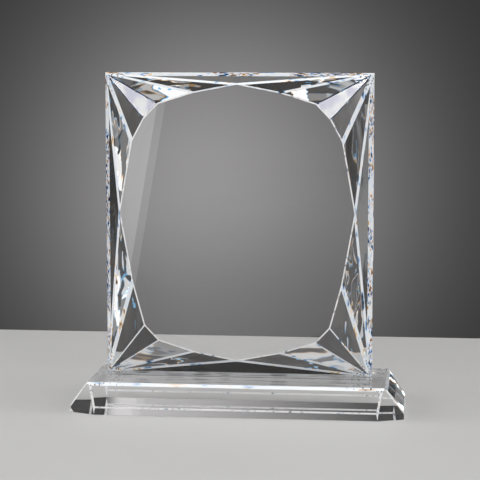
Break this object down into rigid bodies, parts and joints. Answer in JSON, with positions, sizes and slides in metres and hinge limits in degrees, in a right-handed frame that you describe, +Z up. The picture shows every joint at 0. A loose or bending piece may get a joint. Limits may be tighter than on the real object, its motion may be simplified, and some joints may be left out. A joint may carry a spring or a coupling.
{
  "type": "crystal award",
  "caption": "Clear crystal award: a rectangular plaque with gem-cut facet fans in its corners, bonded upright on a bevelled slab base.",
  "frame": {"origin": "middle of the base's underside, on the surface that the award stands on", "axes": "+Z up, X across the plaque, and the gem-cut front of the plaque looks to -Y"},
  "size_m": [0.1864, 0.061, 0.1894],
  "materials": {
    "plaque_crystal": "clear optical crystal, flat ground facets, fire-bright polish",
    "base_crystal": "clear optical crystal, bevelled and polished on every face",
    "clear_adhesive": "cured clear adhesive film"
  },
  "bodies": {
    "root": {"crystal_plaque": "plaque_crystal", "bond_film": "clear_adhesive", "crystal_base": "base_crystal"}
  },
  "joints": []
}
